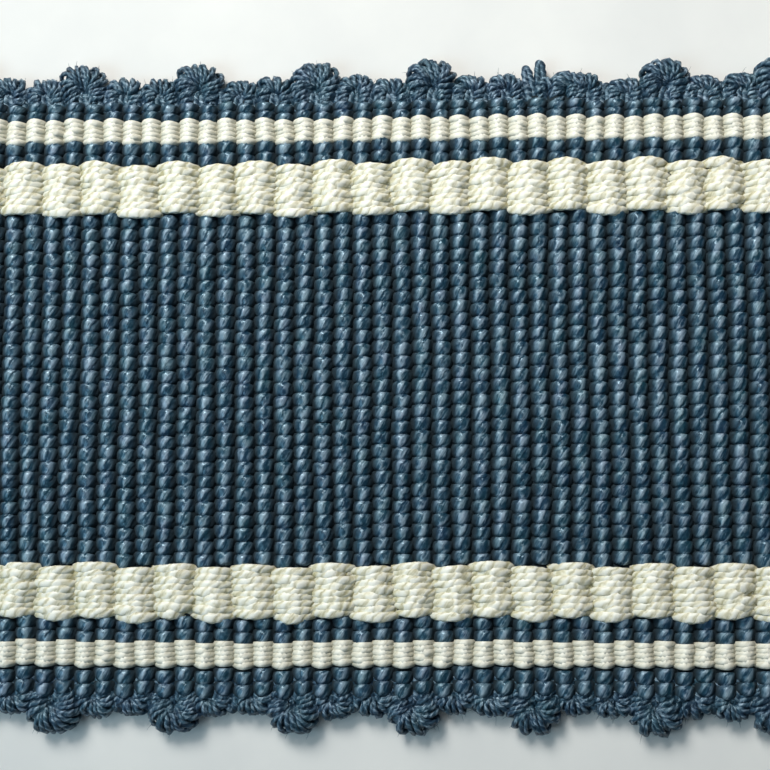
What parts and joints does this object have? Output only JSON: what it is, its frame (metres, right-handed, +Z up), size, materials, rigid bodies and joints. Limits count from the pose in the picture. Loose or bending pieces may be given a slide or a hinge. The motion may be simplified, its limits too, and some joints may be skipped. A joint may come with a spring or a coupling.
{
  "type": "ribbed woven trim",
  "caption": "Flat cut length of ribbed woven trim, navy with lengthwise cream stripes and looped picot edges.",
  "frame": {"origin": "bottom centre of the trim's bounding box, on the surface that it lies on", "axes": "+X along the trim, +Y across it towards the edge with the shorter picots, +Z up out of its face"},
  "size_m": [0.0864, 0.0552, 0.0022],
  "materials": {
    "navy_yarn": "soft spun navy yarn with a dull sheen",
    "cream_yarn": "soft spun cream yarn with a dull sheen"
  },
  "bodies": {
    "root": {"woven_trim": "navy_yarn"}
  },
  "joints": []
}
